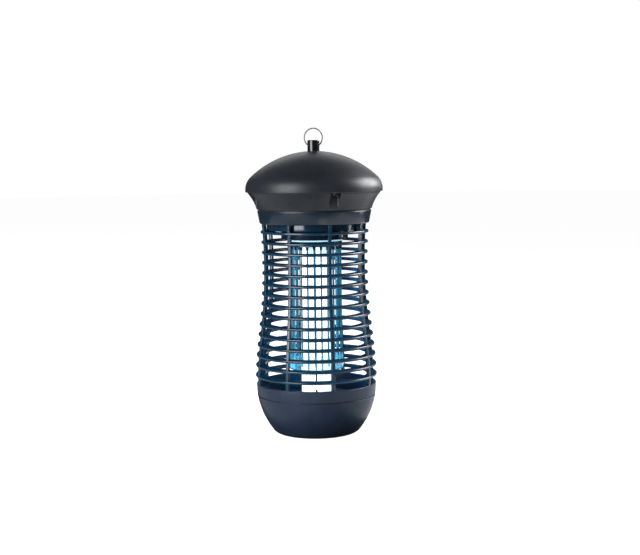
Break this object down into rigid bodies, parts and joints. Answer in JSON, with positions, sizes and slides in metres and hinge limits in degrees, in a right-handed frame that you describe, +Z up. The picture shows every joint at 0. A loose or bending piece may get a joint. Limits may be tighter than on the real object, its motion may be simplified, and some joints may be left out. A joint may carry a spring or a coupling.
{
  "type": "electric bug zapper",
  "caption": "Hanging insect killer: domed roof, finned guard round an electric grid and a twin ultraviolet lamp, pull-off tray below.",
  "frame": {"origin": "centre of the flat underside of the insect tray, on the surface the zapper stands on", "axes": "+Z up the body's axis, X along the guard's seams and the hanger's eye, -Y the front"},
  "size_m": [0.172, 0.172, 0.3838],
  "materials": {
    "casing_plastic": "satin anthracite moulded plastic",
    "guard_plastic": "satin anthracite moulded plastic",
    "post_plastic": "gloss near-black moulded plastic",
    "drum_plastic": "gloss near-black moulded plastic",
    "ring_steel": "polished spring steel wire",
    "screw_steel": "zinc-plated screws, nuts and stud",
    "black_steel": "black-finished screws",
    "grid_steel": "plated steel wire",
    "insulator_plastic": "translucent natural-white insulating plastic",
    "lamp_glass": "phosphor-coated tube, lit, ultraviolet and blue-white",
    "lamp_base_plastic": "white lamp base and holder",
    "pin_brass": "lamp pins",
    "board_laminate": "green circuit board laminate",
    "transformer_steel": "varnished core and taped winding",
    "capacitor_sleeve": "blue sleeved capacitors",
    "resistor_body": "high-ohm discharge resistors",
    "ballast_case": "ballast case",
    "terminal_plastic": "terminal block",
    "gland_plastic": "black nylon cable gland"
  },
  "bodies": {
    "casing": {"hanger_post": "post_plastic", "hanger_stud": "screw_steel", "hanger_washer": "screw_steel", "hanger_nut": "screw_steel", "roof_cover": "casing_plastic", "roof_screws": "black_steel", "neck_collar": "casing_plastic", "cable_gland": "gland_plastic", "gland_cap": "gland_plastic", "gland_nut": "gland_plastic", "hv_board": "board_laminate", "board_screws": "screw_steel", "hv_transformer": "transformer_steel", "hv_capacitors": "capacitor_sleeve", "hv_resistors": "resistor_body", "ballast": "ballast_case", "terminal_block": "terminal_plastic", "terminal_screws": "screw_steel", "lamp_drum": "drum_plastic", "drum_screws": "screw_steel", "lamp_holder": "lamp_base_plastic", "holder_screws": "screw_steel", "grid_top_insulator": "drum_plastic", "grid_bottom_insulator": "insulator_plastic", "live_grid": "grid_steel", "ground_grid": "grid_steel", "grid_screws": "screw_steel", "grid_posts": "insulator_plastic", "grid_nuts": "insulator_plastic", "guard_front_half": "guard_plastic", "guard_rear_half": "guard_plastic", "cage_screws": "screw_steel", "seam_screws": "black_steel"},
    "ring": {"hanging_ring": "ring_steel"},
    "tray": {"insect_tray": "casing_plastic"},
    "lamp": {"lamp_base": "lamp_base_plastic", "lamp_pins": "pin_brass", "lamp_tube": "lamp_glass"}
  },
  "joints": [
    {"name": "ring_swing", "type": "hinge", "parent": "casing", "child": "ring", "pos_m": [0, 0, 0.36095], "axis": [1, 0, 0], "range_deg": [-105, 105]},
    {"name": "tray_removal", "type": "slide", "parent": "casing", "child": "tray", "axis": [0, 0, -1], "range_m": [0, 0.08]},
    {"name": "lamp_pull", "type": "slide", "parent": "casing", "child": "lamp", "axis": [0, 0, -1], "range_m": [0, 0.03]}
  ]
}
